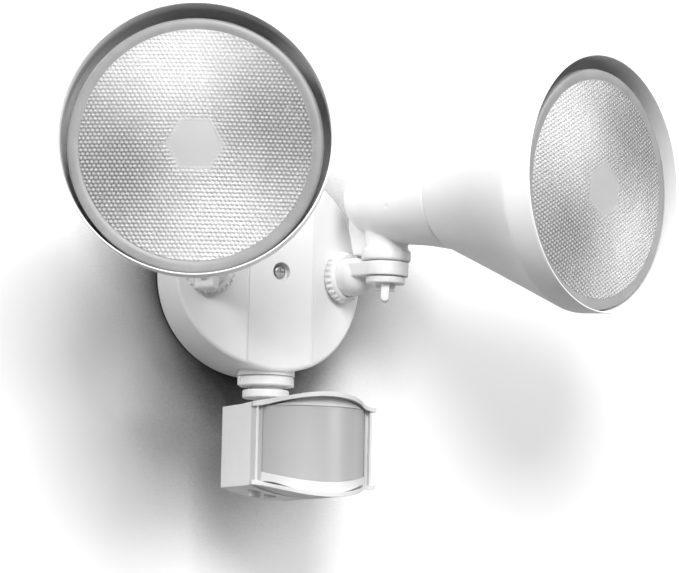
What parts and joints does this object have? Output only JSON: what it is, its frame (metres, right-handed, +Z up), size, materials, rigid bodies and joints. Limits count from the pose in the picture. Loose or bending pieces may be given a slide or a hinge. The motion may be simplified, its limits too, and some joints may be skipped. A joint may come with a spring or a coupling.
{
  "type": "motion sensor security light",
  "caption": "Wall-mounted twin-head security light: round canopy, two swivelling lampholders with conical shades and reflector lamps, and a motion sensor hanging below.",
  "frame": {"origin": "centre of the round canopy's back on the wall plane, midway between the mounting strap's two box-screw slots", "axes": "+Z up, -Y out from the wall (the way the light faces), +Y into the wall, +X to the light's own left, which is the viewer's right"},
  "size_m": [0.3381, 0.2201, 0.2264],
  "materials": {
    "body_paint": "white satin paint",
    "shade_paint": "white satin paint",
    "sensor_shell": "white satin plastic",
    "nut_plastic": "white ribbed plastic",
    "sensor_window": "milky translucent plastic",
    "screw_steel": "plated steel",
    "strap_steel": "zinc-plated steel",
    "ground_green": "green paint",
    "gasket_foam": "soft black foam",
    "seal_rubber": "soft dark rubber",
    "lamp_mirror": "silvered glass bowl",
    "lamp_glass": "clear pressed glass",
    "capsule_glass": "clear glass capsule",
    "lamp_brass": "plain brass",
    "socket_ceramic": "unglazed ceramic",
    "board_green": "green circuit board",
    "relay_black": "black plastic",
    "can_metal": "plain metal can",
    "knob_grey": "grey plastic"
  },
  "bodies": {
    "base": {"canopy_cover": "body_paint", "canopy_gasket": "gasket_foam", "mounting_strap": "strap_steel", "canopy_screw": "screw_steel", "ground_screw": "ground_green", "right_arm_back_nut": "screw_steel", "left_arm_back_nut": "screw_steel", "sensor_back_nut": "screw_steel"},
    "right_arm_lock_nut": {"right_arm_lock_nut": "nut_plastic"},
    "right_arm": {"right_arm": "body_paint"},
    "right_head": {"right_lampholder": "body_paint", "right_shade": "shade_paint", "right_lamp_reflector": "lamp_mirror", "right_lamp_lens": "lamp_glass", "right_lamp_base": "lamp_brass", "right_lamp_tip": "lamp_brass", "right_lamp_burner": "capsule_glass", "right_socket_body": "socket_ceramic", "right_socket_sleeve": "lamp_brass", "right_socket_contact": "lamp_brass", "right_lamp_seal": "seal_rubber"},
    "right_wing_screw": {"right_wing_screw": "nut_plastic"},
    "left_arm_lock_nut": {"left_arm_lock_nut": "nut_plastic"},
    "left_arm": {"left_arm": "body_paint"},
    "left_head": {"left_lampholder": "body_paint", "left_shade": "shade_paint", "left_lamp_reflector": "lamp_mirror", "left_lamp_lens": "lamp_glass", "left_lamp_base": "lamp_brass", "left_lamp_tip": "lamp_brass", "left_lamp_burner": "capsule_glass", "left_socket_body": "socket_ceramic", "left_socket_sleeve": "lamp_brass", "left_socket_contact": "lamp_brass", "left_lamp_seal": "seal_rubber"},
    "left_wing_screw": {"left_wing_screw": "nut_plastic"},
    "sensor_lock_nut": {"sensor_lock_nut": "nut_plastic"},
    "sensor_stem": {"sensor_stem": "sensor_shell"},
    "sensor": {"sensor_housing": "sensor_shell", "sensor_bezel": "sensor_shell", "sensor_lens": "sensor_window", "sensor_board": "board_green", "sensor_element": "can_metal", "sensor_relay": "relay_black", "sensor_capacitor": "relay_black", "sensor_photocell": "can_metal", "sensor_tilt_screw": "screw_steel", "sensor_tilt_nut": "screw_steel", "sensor_case_screws": "screw_steel"},
    "time_knob": {"time_knob": "knob_grey"},
    "range_knob": {"range_knob": "knob_grey"}
  },
  "joints": [
    {"name": "right_nut_turn", "type": "hinge", "parent": "base", "child": "right_arm_lock_nut", "pos_m": [0.0373, -0.03523, 0], "axis": [0.4226, -0.9063, 0], "range_deg": [0, 90]},
    {"name": "right_arm_swivel", "type": "hinge", "parent": "base", "child": "right_arm", "pos_m": [0.0373, -0.03523, 0], "axis": [0.4226, -0.9063, 0], "range_deg": [-45, 45]},
    {"name": "right_head_pan", "type": "hinge", "parent": "right_arm", "child": "right_head", "pos_m": [0.05103, -0.06469, 0], "axis": [0.0111, -0.0237, 0.9997], "range_deg": [-25, 50]},
    {"name": "right_wing_turn", "type": "hinge", "parent": "right_head", "child": "right_wing_screw", "pos_m": [0.05103, -0.06469, 0], "axis": [0.0111, -0.0237, 0.9997], "range_deg": [0, 180]},
    {"name": "left_nut_turn", "type": "hinge", "parent": "base", "child": "left_arm_lock_nut", "pos_m": [-0.0373, -0.03523, 0], "axis": [-0.4226, -0.9063, 0], "range_deg": [0, 90]},
    {"name": "left_arm_swivel", "type": "hinge", "parent": "base", "child": "left_arm", "pos_m": [-0.0373, -0.03523, 0], "axis": [-0.4226, -0.9063, 0], "range_deg": [-45, 45]},
    {"name": "left_head_pan", "type": "hinge", "parent": "left_arm", "child": "left_head", "pos_m": [-0.05103, -0.06469, 0], "axis": [0, 0, 1], "range_deg": [-50, 25]},
    {"name": "left_wing_turn", "type": "hinge", "parent": "left_head", "child": "left_wing_screw", "pos_m": [-0.05103, -0.06469, 0], "axis": [0, 0, 1], "range_deg": [0, 180]},
    {"name": "sensor_nut_turn", "type": "hinge", "parent": "base", "child": "sensor_lock_nut", "pos_m": [0, -0.0262, -0.0575], "axis": [0, 0, 1], "range_deg": [0, 90]},
    {"name": "sensor_pan", "type": "hinge", "parent": "base", "child": "sensor_stem", "pos_m": [0, -0.0262, -0.05], "axis": [0, 0, 1], "range_deg": [-60, 60]},
    {"name": "sensor_tilt", "type": "hinge", "parent": "sensor_stem", "child": "sensor", "pos_m": [0, -0.0262, -0.082], "axis": [1, 0, 0], "range_deg": [-15, 40]},
    {"name": "time_knob_turn", "type": "hinge", "parent": "sensor", "child": "time_knob", "pos_m": [-0.024, -0.07, -0.118], "axis": [0, 0, 1], "range_deg": [0, 270]},
    {"name": "range_knob_turn", "type": "hinge", "parent": "sensor", "child": "range_knob", "pos_m": [-0.015, -0.07, -0.118], "axis": [0, 0, 1], "range_deg": [0, 270]}
  ]
}
